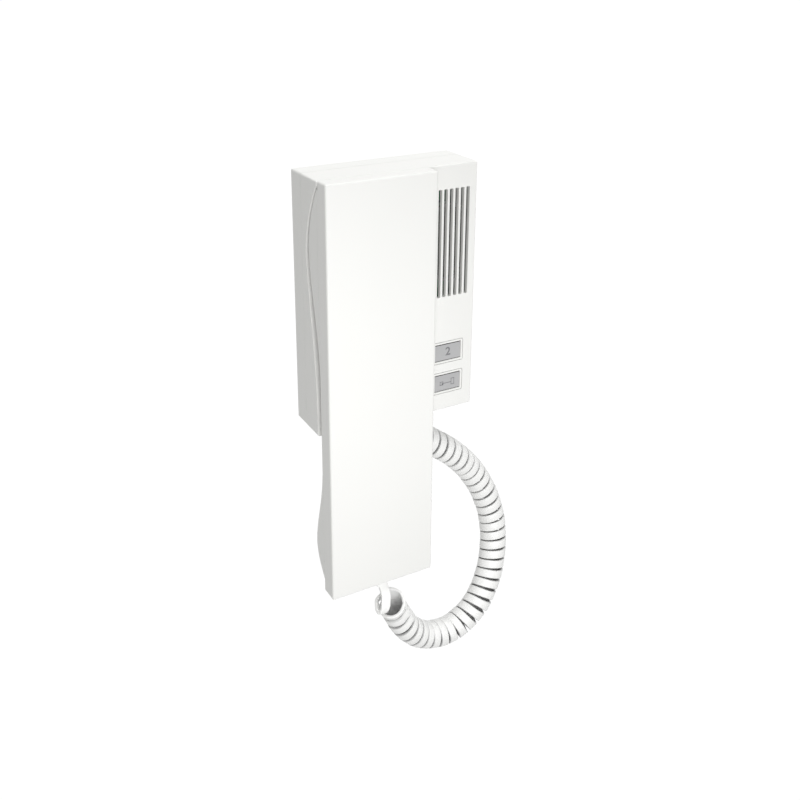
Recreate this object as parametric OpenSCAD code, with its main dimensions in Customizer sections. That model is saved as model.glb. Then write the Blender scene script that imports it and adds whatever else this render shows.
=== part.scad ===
// Wall phone: a flat handset hung in front of a box-shaped wall base, with a coiled cord.
// Frame: origin at the middle of the base's wall face, +X right, +Z up, fronts face -Y.
// Depths are distances from the wall, so a point at depth d has y = -d.

/* [Wall base] */
// Width of the base
base_w = 85; // [80:0.5:95]
// Width of the panel beside the handset
panel_w = 26.8; // [25.4:0.1:30]
// Height of the base
base_h = 128; // [126:1:140]
// Depth of the right-hand panel's face from the wall
panel_d = 27.6; // [26.6:0.1:29]
// Depth of the rear tray's side walls
tray_d = 10.2; // [9:0.1:10.8]
// Wall thickness of the front housing
wall_t = 2; // [1.6:0.1:2.3]
// Thickness of the tray's floor, against the wall
floor_t = 2; // [1.6:0.1:2.4]
// Radius of the casings' outer edges
edge_r = 1; // [0.5:0.1:1.5]
// Shut line between two casing halves
shut_gap = 0.15; // [0.1:0.05:0.25]
// Thickness of the lip that locates the housing on the tray
lip_t = 1; // [0.8:0.1:1.4]
// Height of the cradle's top lip
cradle_lip = 1.7; // [1.4:0.1:2.2]
// Depth of the cradle's face at its foot
cradle_foot_d = 23.4; // [22.5:0.1:24]

/* [Handset] */
// Length of the handset
handset_l = 215; // [205:1:225]
// Thickness of the handset's front cover
cover_d = 9.4; // [8.6:0.1:9.6]
// How far the handset stands proud of the panel
handset_proud = 8.5; // [8.2:0.1:9.5]
// Wall thickness of the handset's cover
cover_t = 1.8; // [1.5:0.1:2.1]
// Wall thickness of the handset's back shell
shell_t = 2; // [1.6:0.1:2.2]
// How far the earpiece swell stands out behind the cover
ear_swell = 9.8; // [9:0.1:10.2]
// Height of the earpiece's middle below the top
ear_drop = 36; // [35:0.5:38]
// How far the mouthpiece swell stands out behind the cover
mouth_swell = 8.5; // [8:0.1:9.5]
// Height of the mouthpiece's middle above the bottom
mouth_rise = 25.5; // [24.5:0.5:28]
// Handset's left side in from the base's left side
side_reveal = 0.5; // [0.3:0.1:1.2]
// Gap between the handset's right side and the panel's step
panel_gap = 0.4; // [0.3:0.1:0.8]
// Gap between the earpiece swell and the cradle's face
cradle_gap = 2.1; // [1.6:0.1:2.4]
// Running gap round the hanging tongue, the hook lever's nose and the top lip
hang_gap = 0.3; // [0.25:0.05:0.4]

/* [Call slots] */
// Number of speaker slots
slot_n = 7; // [5:1:7]
// Slot spacing
slot_pitch = 3.1; // [2.9:0.1:3.2]
// Slot width
slot_w = 1.95; // [1.6:0.05:2.1]
// Slot length
slot_l = 54.6; // [50:0.1:57]
// Slots' top end below the base's top
slot_drop = 11.9; // [11:0.1:13]
// Middle line of slots and keys, left of the panel's middle
panel_shift = 1.05; // [0:0.05:1.2]

/* [Keys] */
// Key width
key_w = 17; // [15:0.1:17.4]
// Key height
key_h = 11.3; // [10:0.1:12]
// Gap between a key and its window
key_gap = 0.3; // [0.25:0.05:0.4]
// Key travel
key_travel = 0.8; // [0.5:0.1:0.9]
// Upper key's middle above the base's bottom
key_rise = 31.65; // [30:0.05:33]
// Key spacing
key_pitch = 16.7; // [16:0.1:18]
// Width of the white rim round a key's label field
key_rim = 0.95; // [0.8:0.05:1.4]
// Label field's depth below the key's face
label_sink = 0.6; // [0.4:0.1:0.9]

/* [Hanging parts] */
// Angle above level at which the handset leaves the cradle
lift_angle = 30; // [28:1:34]
// Width of the hanging tongue
tongue_w = 14; // [10:0.5:18]
// Thickness of the hanging tongue
tongue_t = 2.6; // [2:0.1:3]
// Reach of the hanging tongue out of the cradle
tongue_l = 5.4; // [4.8:0.1:6]
// Hook lever's width
lever_w = 8; // [6:0.5:10]
// Radius of the hook lever's pin
pin_r = 1.5; // [1.2:0.1:1.7]
// Radial running clearance of the lever on its pin
pin_clear = 0.05; // [0.03:0.01:0.08]

/* [Wall fixing] */
// Spacing of the two wall screws, one above the other
screw_pitch = 60; // [56:1:64]
// Radius of the wall screw holes
screw_hole_r = 2.2; // [1.8:0.1:2.6]
// Width of the cable entry
entry_w = 22; // [18:1:26]
// Height of the cable entry
entry_h = 20; // [14:1:22]

/* [Cord] */
// Outer radius of the cord's coil
coil_r = 7.3; // [6.5:0.05:7.6]
// Width of the flat cord
cord_w = 4.8; // [4:0.1:5.2]
// Thickness of the flat cord
cord_t = 1.7; // [1.4:0.1:2.2]

/* [Hidden] */
$fn = 48;
eps = 0.01;
far = 300;                                  // longer than anything that a cut has to clear

// Base
base_x = base_w / 2;
base_z = base_h / 2;
in_x = base_x - wall_t;                     // inside of the housing's side walls
in_z = base_z - wall_t;
panel_in_d = panel_d - wall_t;

// Handset
hand_x0 = -base_x + side_reveal;
hand_x1 = base_x - panel_w - panel_gap;
hand_x = (hand_x0 + hand_x1) / 2;
hand_top = base_z;
hand_foot = hand_top - handset_l;
front_d = panel_d + handset_proud;
back_d = front_d - cover_d;                 // the handset's flat back
front_in_d = front_d - cover_t;
plate_in_d = back_d + shell_t;
fit_gap = 0.1;                              // between a cover and what it closes over
ear_z = hand_top - ear_drop;
mouth_z = hand_foot + mouth_rise;
ear_d = back_d - ear_swell;
mouth_d = back_d - mouth_swell;
ear_steep = ear_drop - 4;                   // the swell's short side, towards the handset's end
ear_soft = 64;                              // and its long side, towards the handset's middle
mouth_steep = mouth_rise - 7.2;
mouth_soft = 46;
top_step_z = ear_z + ear_steep;             // above this the handset steps over the cradle's lip
shell_side = 3.6;                           // side walls of the swells, wide enough to carry the plate

// Cradle
panel_x = hand_x1 + panel_gap;              // the step beside the handset
cradle_d = ear_d - cradle_gap;
cradle_z = ear_z - 3;
cradle_top_z = base_z - cradle_lip;
cradle_run = 76;

// Steps of an outline's curves
curve_n = 16;

function ease(t) = (1 - cos(180 * min(1, max(0, t)))) / 2;
// A swell's height, 0 to 1, at off from its middle: a parabola outwards, a long ease inwards
function swell(off, steep, soft) = off < 0 ? max(0, 1 - pow(off / steep, 2))
    : 1 - ease(pow(off / soft, 0.85));
function handset_depth(z) = back_d - ear_swell * swell(ear_z - z, ear_steep, ear_soft)
    - mouth_swell * swell(z - mouth_z, mouth_steep, mouth_soft);
function cradle_depth(z) = z > cradle_z
    ? cradle_d + (panel_d - cradle_d) * pow((z - cradle_z) / (cradle_top_z - cradle_z), 2)
    : cradle_d + (cradle_foot_d - cradle_d) * sin(90 * pow(min(1, (cradle_z - z) / cradle_run), 1.25));
function steps(a, b, n) = [for (i = [0:n]) a + (b - a) * i / n];
function cradle_curve(shift) = concat(
    [for (z = steps(cradle_top_z, cradle_z, curve_n)) [-cradle_depth(z) + shift, z]],
    [for (z = steps(cradle_z - cradle_run / curve_n, cradle_z - cradle_run, curve_n - 1))
        [-cradle_depth(z) + shift, z]]);
function ear_curve(shift) = concat(
    [for (z = steps(ear_z + ear_steep, ear_z, curve_n)) [-handset_depth(z) - shift, z]],
    [for (z = steps(ear_z - ear_soft / curve_n, ear_z - ear_soft, curve_n - 1))
        [-handset_depth(z) - shift, z]]);
function mouth_curve(shift) = concat(
    [for (z = steps(mouth_z - mouth_steep, mouth_z, curve_n)) [-handset_depth(z) - shift, z]],
    [for (z = steps(mouth_z + mouth_soft / curve_n, mouth_z + mouth_soft, curve_n - 1))
        [-handset_depth(z) - shift, z]]);

// A box between two depths
module slab(x0, x1, d0, d1, z0, z1) {
    translate([x0, -d1, z0]) cube([x1 - x0, d1 - d0, z1 - z0]);
}
// An outline drawn as [-depth, z], extruded along X
module across(x0, x1) {
    translate([x0, 0, 0]) rotate([90, 0, 90]) linear_extrude(height = x1 - x0) children();
}
// An outline drawn as seen from the front, extruded from one depth to another
module outwards(x, z, d0, d1) {
    translate([x, -d0, z]) rotate([90, 0, 0]) linear_extrude(height = d1 - d0) children();
}
// A round bar or hole square to the wall
module round_y(x, z, d0, d1, r) {
    translate([x, -d0, z]) rotate([90, 0, 0]) cylinder(h = d1 - d0, r = r);
}
// A round bar or hole along X
module round_x(x0, x1, d, z, r) {
    translate([x0, -d, z]) rotate([0, 90, 0]) cylinder(h = x1 - x0, r = r);
}
module rounded(w, h, r) {
    square([w - 2 * r, h], center = true);
    square([w, h - 2 * r], center = true);
    for (x = [-1, 1], z = [-1, 1]) translate([x * (w / 2 - r), z * (h / 2 - r)]) circle(r);
}
// A box with rounded edges: what three rounded outlines have in common
module soft_box(x0, x1, d0, d1, z0, z1, r) {
    intersection() {
        outwards((x0 + x1) / 2, (z0 + z1) / 2, d0, d1) rounded(x1 - x0, z1 - z0, r);
        translate([0, -(d0 + d1) / 2, (z0 + z1) / 2]) across(x0, x1) rounded(d1 - d0, z1 - z0, r);
        translate([(x0 + x1) / 2, -(d0 + d1) / 2, z0])
            linear_extrude(height = z1 - z0) rounded(x1 - x0, d1 - d0, r);
    }
}

// Wall plate: the rear tray, screwed to the wall
screw_in = 14.5;                            // wall screws, in from the left-hand side
screw_x = -base_x + screw_in;
screw_z = cradle_z - 9;                     // middle of the two wall screws
entry_x = hand_x + 4.35;
entry_drop = 13;
entry_z = cradle_z - entry_drop;
board_d0 = floor_t + 2.4;                   // circuit board, on short posts
board_t = 1.6;
board_d = board_d0 + board_t;
post_r = 2.75;
pilot_r = 1.2;
column_x0 = panel_x + 0.8;                  // the board's tall right-hand part
column_x1 = in_x - 1.6;
shelf_drop = 47;                            // cradle's deepest line down to the left-hand part
shelf_z = cradle_z - shelf_drop;
board_x0 = -in_x + 2.5;
foot_room = 15;                             // space under the left-hand part, for the cord
board_foot = -in_z + foot_room;
head_room = 4;                              // space above the right-hand part
board_rim = 4;                              // board screws, in from the board's edges
board_fix = [[board_x0 + board_rim, shelf_z - board_rim],
    [column_x1 - board_rim, in_z - head_room - board_rim],
    [column_x1 - board_rim, -in_z + 2 + board_rim]];
house_in = 12.5;
house_x = -base_x + house_in;               // housing screw, up through the bottom
house_d = 16.4;
house_r = 1.5;
house_gap = 0.3;
head_r = 2.8;
head_h = 2.2;
boss_h = 5;                                 // height of the housing's screw boss, from the outside

module wall_plate() color("white") {
    difference() {
        union() {
            difference() {
                soft_box(-base_x, base_x, -2 * edge_r, tray_d + 2 * edge_r, -base_z, base_z, edge_r);
                slab(-far, far, -far, 0, -far, far);
                slab(-far, far, tray_d, far, -far, far);
                slab(-in_x + lip_gap, in_x - lip_gap, floor_t, far, -in_z + lip_gap, in_z - lip_gap);
            }
            lip();
            for (p = board_fix) round_y(p[0], p[1], floor_t - eps, board_d0, post_r);
            // Block that takes the housing screw
            slab(house_x - 4.5, house_x + 4.5, floor_t - eps, house_d + 4.2,
                -base_z + boss_h + house_gap, -base_z + boss_h + 9);
            // Bracket over the hook spring
            slab(hand_x - 3.2, hand_x + 3.2, floor_t - eps, foot_d + 2.4, spring_top, spring_top + 1.6);
        }
        for (s = [-1, 1])
            round_y(screw_x, screw_z + s * screw_pitch / 2, -eps, floor_t + eps, screw_hole_r);
        outwards(entry_x, entry_z, -eps, floor_t + eps) rounded(entry_w, entry_h, 3);
        for (p = board_fix) round_y(p[0], p[1], 0.8, far, pilot_r);
        translate([house_x, -house_d, -base_z]) cylinder(h = boss_h + 8, r = house_r + 0.05);
    }
}
lip_gap = 0.1;
// Lip that the housing's walls close over
module lip() {
    x = in_x - lip_gap;
    z = in_z - lip_gap;
    difference() {
        slab(-x - eps, x + eps, tray_d - 2, tray_d, -z - eps, z + eps);
        slab(-x + lip_t, x - lip_t, 0, far, -z + lip_t, z - lip_t);
    }
    difference() {
        slab(-x, x, tray_d - eps, tray_d + 1.6, -z, z);
        slab(-x + lip_t, x - lip_t, 0, far, -z + lip_t, z - lip_t);
    }
}

// Front housing: the cradle for the handset, and the panel with its slots and keys
slot_x = base_x - panel_w / 2 - panel_shift;
slot_top = base_z - slot_drop;
key_z = -base_z + key_rise;
tongue_z = cradle_top_z - 10;
pivot_drop = 45;                            // cradle's deepest line down to the lever's pin
pivot_z = cradle_z - pivot_drop;
pivot_d = 13;
hub_r = 3.4;
ear_gap = 0.3;                              // between the lever's hub and its ears
ear_t = 2;
lever_l = 26;                               // lever, from its pin down to its tip
nose_h = 6;
ramp_h = 9;                                 // the slope above the nose
lever_foot = pivot_z - lever_l;
nose_top = lever_foot + nose_h;
window_top = nose_top + ramp_h + 1;
window_foot = lever_foot - 1;
grommet_x = -8;
grommet_d = 14.6;

module cradle_solid(shift, x0, x1, d) {
    across(x0, x1) polygon(concat([[-d, cradle_top_z]], cradle_curve(shift),
        [[-cradle_foot_d + shift, -far], [-d, -far]]));
}
module base_housing() color("white") {
    difference() {
        union() {
            difference() {
                soft_box(-base_x, base_x, -2 * edge_r, panel_d, -base_z, base_z, edge_r);
                slab(-far, far, -far, tray_d + shut_gap, -far, far);
                cradle_solid(0, -far, panel_x, far);
                housing_hollow();
            }
            hanging_tongue();
            lever_ears();
            translate([house_x, -house_d, -base_z]) cylinder(h = boss_h, r = head_r + 1.6);
        }
        call_slots();
        for (k = [0, 1]) outwards(slot_x, key_z - k * key_pitch, panel_in_d - 1, far)
            rounded(key_w + 2 * key_gap, key_h + 2 * key_gap, 0.5 + key_gap);
        slab(hand_x - lever_w / 2 - 0.5, hand_x + lever_w / 2 + 0.5, pivot_d + 1, far,
            window_foot, window_top);
        translate([house_x, -house_d, -base_z - eps]) cylinder(h = head_h + 0.3, r = head_r + 0.2);
        translate([house_x, -house_d, -base_z]) cylinder(h = boss_h + eps, r = house_r + 0.2);
        translate([grommet_x, -grommet_d, -base_z]) grommet_hole(wall_t);
    }
}
module housing_hollow() {
    intersection() {
        slab(-in_x, in_x, 0, far, -in_z, in_z);
        across(-in_x, in_x) polygon(concat([[0, far], [-panel_in_d, far]], cradle_curve(wall_t),
            [[-cradle_foot_d + wall_t, -far], [0, -far]]));
    }
    slab(panel_x + wall_t, in_x, 0, panel_in_d, -in_z, in_z);
}
module call_slots() {
    for (i = [0:slot_n - 1])
        outwards(slot_x + (i - (slot_n - 1) / 2) * slot_pitch, slot_top - slot_l / 2, panel_in_d - 1, far)
            rounded(slot_w, slot_l, 0.5);
}
// The handset hangs on this tongue, which points along the way that the handset leaves
module hanging_tongue() {
    translate([hand_x, -cradle_depth(tongue_z), tongue_z]) rotate([-lift_angle, 0, 0])
        translate([-tongue_w / 2, -tongue_l, -tongue_t / 2]) cube([tongue_w, tongue_l + 1.2, tongue_t]);
}
module lever_ears() {
    difference() {
        for (s = [-1, 1]) translate([s * (lever_w / 2 + ear_gap + ear_t / 2), 0, 0]) intersection() {
            union() {
                round_x(hand_x - ear_t / 2, hand_x + ear_t / 2, pivot_d, pivot_z, hub_r);
                slab(hand_x - ear_t / 2, hand_x + ear_t / 2, pivot_d, panel_d,
                    pivot_z - hub_r, pivot_z + hub_r);
            }
            across(hand_x - ear_t, hand_x + ear_t) polygon(concat([[0, cradle_top_z]],
                cradle_curve(wall_t / 2), [[0, cradle_z - cradle_run]]));
        }
        round_x(hand_x - far, hand_x + far, pivot_d, pivot_z, pin_r + 0.02);
    }
}

// Screw up through the bottom
module housing_screw() color("silver") {
    translate([house_x, -house_d, -base_z + 0.3]) {
        difference() {
            cylinder(h = head_h - 0.1, r = head_r);
            translate([-head_r, -0.4, -eps]) cube([2 * head_r, 0.8, 0.9]);
        }
        cylinder(h = boss_h + 6, r = house_r);
    }
}

// Electronics
module circuit_board() color("seagreen") {
    difference() {
        union() {
            slab(column_x0, column_x1, board_d0, board_d, -in_z + 2, in_z - head_room);
            slab(board_x0, column_x1, board_d0, board_d, board_foot, shelf_z);
        }
        for (p = board_fix) round_y(p[0], p[1], 0, far, 1.5);
    }
}
board_screw_l = 4;
module board_screws() color("silver") {
    for (p = board_fix) {
        difference() {
            round_y(p[0], p[1], board_d, board_d + 1.4, 2.5);
            slab(p[0] - 3, p[0] + 3, board_d + 0.8, board_d + 2, p[1] - 0.3, p[1] + 0.3);
        }
        round_y(p[0], p[1], board_d - board_screw_l, board_d + eps, pilot_r - 0.05);
    }
}
capacitor_r = 3.2;
capacitor_h = 9;
module board_capacitors() color("darkslateblue") {
    for (s = [-1, 1])
        round_y(slot_x + s * 1.4 * capacitor_r, speaker_z + speaker_l / 3, board_d, board_d + capacitor_h,
            capacitor_r);
}
chip_w = 8;
chip_l = 16;
module control_chip() color("dimgray") {
    chip_z = (key_z + speaker_z - speaker_l / 2) / 2;
    slab(slot_x - chip_w / 2, slot_x + chip_w / 2, board_d + 0.4, board_d + 2.4,
        chip_z - chip_l / 2, chip_z + chip_l / 2);
    for (z = [-chip_l / 2 + 1:2:chip_l / 2 - 1])
        slab(slot_x - chip_w / 2 - 1.4, slot_x + chip_w / 2 + 1.4, board_d, board_d + 1,
            chip_z + z - 0.3, chip_z + z + 0.3);
}
terminal_n = 4;
terminal_pitch = 4;
terminal_w = terminal_n * terminal_pitch;
terminal_x = panel_x - 1.2 - terminal_w / 2;
terminal_h = 10;
module terminal_block() color("mediumseagreen") {
    z1 = shelf_z;
    difference() {
        slab(terminal_x - terminal_w / 2, terminal_x + terminal_w / 2,
            board_d, board_d + terminal_h, z1 - 9, z1);
        for (i = [0:terminal_n - 1]) terminal_place(i) {
            round_y(0, z1 - 4.5, board_d + 2, far, 1.5);
            translate([0, -board_d - 4, z1 - 4.5]) cylinder(h = 9, r = 1.2);
        }
    }
}
module terminal_place(i) {
    translate([terminal_x + (i - (terminal_n - 1) / 2) * terminal_pitch, 0, 0]) children();
}
module terminal_screws() color("silver") {
    for (i = [0:terminal_n - 1]) terminal_place(i) difference() {
        round_y(0, shelf_z - 4.5, board_d + 6, board_d + terminal_h - 0.8, 1.4);
        slab(-2, 2, board_d + terminal_h - 1.5, far, shelf_z - 4.8, shelf_z - 4.2);
    }
}

// Call speaker behind the slots
speaker_w = 20;
speaker_l = 40;
speaker_z = slot_top - slot_l / 2;
gasket_t = 1;
speaker_d = panel_in_d - gasket_t;
basket_t = 4.6;
module race(w, l) {
    rounded(w, l, w / 2 - eps);
}
module speaker_gasket() color("dimgray") {
    outwards(slot_x, speaker_z, speaker_d, panel_in_d) difference() {
        race(speaker_w, speaker_l);
        race(speaker_w - 3, speaker_l - 3);
    }
}
module speaker_frame() color("gray") {
    outwards(slot_x, speaker_z, speaker_d - 1.2, speaker_d) difference() {
        race(speaker_w, speaker_l);
        race(speaker_w - 3, speaker_l - 3);
    }
    difference() {
        outwards(slot_x, speaker_z, speaker_d - basket_t, speaker_d - 1.2 + eps)
            race(speaker_w - 1.6, speaker_l - 1.6);
        outwards(slot_x, speaker_z, speaker_d - basket_t + 0.8, speaker_d) race(speaker_w - 3, speaker_l - 3);
        for (s = [-1, 1]) outwards(slot_x, speaker_z + s * 12.5, 0, speaker_d - 1) rounded(8, 6, 1.5);
    }
}
module speaker_cone() color("black") {
    translate([slot_x, -speaker_d, speaker_z]) rotate([-90, 0, 0]) difference() {
        linear_extrude(height = basket_t - 1, scale = 0.45) race(speaker_w - 3.4, speaker_l - 3.4);
        translate([0, 0, -0.4]) linear_extrude(height = basket_t - 1, scale = 0.45)
            race(speaker_w - 3.6, speaker_l - 3.6);
    }
}
module speaker_magnet() color("silver") {
    round_y(slot_x, speaker_z, speaker_d - basket_t - 4, speaker_d - basket_t, 7);
}

// Keys, with the switches under them
tact_h = 3.5;
plunger_r = 1.75;
plunger_d = board_d + tact_h + 1;           // where the key's stem meets the plunger
module tact_switches() color("dimgray") {
    for (k = [0, 1]) difference() {
        slab(slot_x - 3, slot_x + 3, board_d, board_d + tact_h,
            key_z - k * key_pitch - 3, key_z - k * key_pitch + 3);
        round_y(slot_x, key_z - k * key_pitch, board_d + 0.4, far, plunger_r + 0.1);
    }
}
module key(k) {
    z = key_z - k * key_pitch;
    difference() {
        union() {
            outwards(slot_x, z, panel_in_d - 1.8, panel_d) rounded(key_w, key_h, 0.5);
            // Flange that holds the key behind the panel
            outwards(slot_x, z, panel_in_d - 1.8, panel_in_d - key_gap) rounded(key_w + 2, key_h + 2, 1);
            round_y(slot_x, z, plunger_d, panel_in_d - 1.7, 2.4);
        }
        outwards(slot_x, z, panel_d - label_sink - 0.6, far)
            rounded(key_w - 2 * key_rim, key_h - 2 * key_rim, 0.3);
    }
}
module key_label(k) {
    outwards(slot_x, key_z - k * key_pitch, panel_d - label_sink - 0.6, panel_d - label_sink)
        rounded(key_w - 2 * key_rim - fit_gap, key_h - 2 * key_rim - fit_gap, 0.25);
}
module key_plunger(k) {
    round_y(slot_x, key_z - k * key_pitch, board_d + 0.4 + key_travel + 0.2, plunger_d, plunger_r);
}
module upper_key() color("white") key(0);
module upper_key_label() color("silver") key_label(0);
module upper_key_plunger() color("black") key_plunger(0);
module door_key() color("white") key(1);
module door_key_label() color("silver") key_label(1);
module door_key_plunger() color("black") key_plunger(1);

// Hook lever: pressed in by the hung handset, it springs out through the cradle's window
nose_d = back_d - hang_gap;
arm_d = pivot_d - 0.7;
foot_d = 8;                                 // middle of the foot that the spring pushes
foot_t = 1.3;                               // half the foot's thickness
foot_w = 6;
arm_t = 3;
spring_room = 8.7;
spring_top = pivot_z + foot_t + spring_room;
module hook_lever() color("whitesmoke") {
    difference() {
        union() {
            round_x(hand_x - lever_w / 2, hand_x + lever_w / 2, pivot_d, pivot_z, hub_r);
            across(hand_x - lever_w / 2, hand_x + lever_w / 2) polygon([
                [-arm_d, pivot_z], [-arm_d, lever_foot], [-nose_d + nose_h / 3, lever_foot],
                [-nose_d, lever_foot + nose_h / 2], [-nose_d, nose_top],
                [-arm_d - arm_t - ramp_h / 2, nose_top + 0.75 * ramp_h],
                [-arm_d - arm_t, nose_top + ramp_h], [-arm_d - arm_t, pivot_z]]);
            slab(hand_x - foot_w / 2, hand_x + foot_w / 2, foot_d - 1.9, pivot_d,
                pivot_z - foot_t, pivot_z + foot_t);
        }
        round_x(hand_x - far, hand_x + far, pivot_d, pivot_z, pin_r + pin_clear);
    }
}
module hook_lever_pin() color("silver") {
    reach = lever_w / 2 + ear_gap + ear_t;
    round_x(hand_x - reach, hand_x + reach, pivot_d, pivot_z, pin_r);
}
hook_switch_l = 12.8;
module hook_switch() color("dimgray") {
    slab(hand_x - foot_w / 2, hand_x + foot_w / 2, board_d, arm_d - 0.6,
        lever_foot + 1, lever_foot + 1 + hook_switch_l);
    round_y(hand_x, nose_top - 1, arm_d - 0.6 - eps, arm_d - hang_gap, 1);
}
// Sections are swept along a route: ring i lies square to the route at its point i
function unit(v) = v / norm(v);
function tangent(route, i) = unit(route[min(len(route) - 1, i + 1)] - route[max(0, i - 1)]);
function ring(p, t, side, section) =
    let (a = unit(side - t * (side * t)), b = cross(t, a))
    [for (q = section) p + q[0] * a + q[1] * b];
function flat(list) = [for (a = list, b = a) b];
module sweep(route, section, side, first = undef, last = undef, side_end = undef) {
    n = len(route);
    m = len(section);
    twist = side_end ? side_end - side : [0, 0, 0];
    points = flat([for (i = [0:n - 1]) ring(route[i],
        i == 0 && first ? unit(first) : i == n - 1 && last ? unit(last) : tangent(route, i),
        side + twist * i / (n - 1), section)]);
    sides = flat([for (i = [0:n - 2], j = [0:m - 1])
        let (a = i * m + j, b = i * m + (j + 1) % m) [[a + m, b + m, b], [a + m, b, a]]]);
    polyhedron(points, concat([[for (j = [0:m - 1]) j]], sides, [[for (j = [m - 1:-1:0]) (n - 1) * m + j]]));
}
// A smooth curve through the points, k steps from each to the next
function curve(p, k) = concat([for (i = [0:len(p) - 2], j = [0:k - 1])
    let (a = p[max(0, i - 1)], b = p[i], c = p[i + 1], d = p[min(len(p) - 1, i + 2)], t = j / k)
    b + (c - a) * t / 2 + (a - 2.5 * b + 2 * c - d / 2) * t * t + (3 * (b - c) + d - a) * pow(t, 3) / 2],
    [p[len(p) - 1]]);
function round_section(r, n) = [for (i = [0:n - 1]) r * [cos(360 * i / n), sin(360 * i / n)]];
spring_n = 5;
spring_r = 1.5;
wire_r = 0.2;
spring_gap = 0.2;                           // play of the spring at each end
module hook_spring() color("silver") {
    z0 = pivot_z + foot_t + spring_gap + wire_r;
    z1 = spring_top - spring_gap - wire_r;
    turn = 10;
    sweep([for (i = [0:spring_n * turn]) [hand_x + spring_r * cos(360 * i / turn),
        -foot_d + spring_r * sin(360 * i / turn), z0 + (z1 - z0) * i / (spring_n * turn)]],
        round_section(wire_r, 6), [0, 0, 1]);
}

// Handset
handset_boss_r = 3;
fix_in = 8.6;                               // lower screws, in from the handset's sides
fix_up = 5;                                 // and up from its bottom
grip_fix = 25.5;                            // upper screw, above the end of the mouthpiece swell
handset_fix = [[hand_x, mouth_z + mouth_soft + grip_fix], [hand_x0 + fix_in, hand_foot + fix_up],
    [hand_x1 - fix_in, hand_foot + fix_up]];
hand_screw_r = 1.3;
cord_d = (plate_in_d + front_in_d) / 2;     // the cord leaves midway between cover and plate
module handset_step() {
    slab(-far, far, -far, panel_d + hang_gap, top_step_z, far);
}
module handset_cover() color("white") {
    difference() {
        union() {
            difference() {
                soft_box(hand_x0, hand_x1, back_d - 3 * edge_r, front_d, hand_foot, hand_top, edge_r);
                slab(-far, far, -far, back_d, -far, far);
                slab(hand_x0 + cover_t, hand_x1 - cover_t, 0, front_in_d,
                    hand_foot + cover_t, hand_top - cover_t);
            }
            for (p = handset_fix) round_y(p[0], p[1], plate_in_d, front_in_d + eps, handset_boss_r);
            press_ring(ear_z, receiver_d0 + flange_d, receiver_r - 2);
            press_ring(mouth_z, boot_d1, boot_r);
        }
        handset_step();
        for (p = handset_fix) round_y(p[0], p[1], 0, front_in_d + 0.6, hand_screw_r + 0.05);
        translate([hand_x, -cord_d, hand_foot]) grommet_hole(cover_t);
    }
}
// Ring inside the cover that holds a capsule down
module press_ring(z, d, r) {
    difference() {
        round_y(hand_x, z, d, front_in_d + eps, r);
        round_y(hand_x, z, 0, front_in_d, r - 1.5);
    }
}
receiver_r = 17;
flange_d = 4;                               // height of the receiver's flange
receiver_seat = ear_d + shell_t + 3.4;
receiver_d0 = receiver_seat + 0.8;
receiver_h = 8.6;
mic_r = 4.85;
boot_r = 6.5;
boot_d0 = mouth_d + shell_t + 1.2;
boot_d1 = boot_d0 + 7;
module handset_back() color("white") {
    difference() {
        union() {
            difference() {
                across(hand_x0, hand_x1) {
                    polygon(concat([[-front_d, ear_z + ear_steep]], ear_curve(0),
                        [[-front_d, ear_z - ear_soft]]));
                    polygon(concat([[-front_d, mouth_z - mouth_steep]], mouth_curve(0),
                        [[-front_d, mouth_z + mouth_soft]]));
                }
                slab(-far, far, back_d - shut_gap, far, -far, far);
            }
            slab(hand_x0 + cover_t + fit_gap, hand_x1 - cover_t - fit_gap, back_d - shut_gap - eps,
                plate_in_d, hand_foot + cover_t + fit_gap, hand_top - cover_t - fit_gap);
        }
        handset_step();
        shell_hollow();
        // Slot that the hanging tongue enters
        translate([hand_x, -cradle_depth(tongue_z), tongue_z]) rotate([-lift_angle, 0, 0])
            translate([-tongue_w / 2 - hang_gap, -far / 10, -tongue_t / 2 - hang_gap])
                cube([tongue_w + 2 * hang_gap, far / 5, tongue_t + 2 * hang_gap]);
        ear_holes();
        for (x = [-2.4, 0, 2.4]) round_y(hand_x + x, mouth_z, mouth_d - 1, boot_d0, 0.8);
        for (p = handset_fix) {
            round_y(p[0], p[1], 0, far, hand_screw_r + 0.2);
            round_y(p[0], p[1], 0, back_d + 1, 2.6);
        }
    }
    difference() {
        round_y(hand_x, ear_z, ear_d + shell_t - 0.6, receiver_seat, receiver_r - 0.6);
        round_y(hand_x, ear_z, 0, far, receiver_r - 2.4);
        across(-far, far) polygon(concat([[0, ear_z + ear_steep]], ear_curve(0.6), [[0, ear_z - ear_soft]]));
    }
    difference() {
        round_y(hand_x, mouth_z, mouth_d + shell_t - 0.6, boot_d0 + 2.6, boot_r + 1.4);
        round_y(hand_x, mouth_z, boot_d0, far, boot_r + fit_gap);
        round_y(hand_x, mouth_z, 0, far, 3.4);
        across(-far, far) polygon(concat([[0, mouth_z - mouth_steep]], mouth_curve(0.6),
            [[0, mouth_z + mouth_soft]]));
    }
}
module shell_hollow() {
    across(hand_x0 + shell_side, hand_x1 - shell_side) {
        polygon(concat([[-front_d, ear_z + ear_steep]], ear_curve(shell_t),
            [[-front_d, ear_z - ear_soft]]));
        polygon(concat([[-front_d, mouth_z - mouth_steep]], mouth_curve(shell_t),
            [[-front_d, mouth_z + mouth_soft]]));
    }
}
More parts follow.
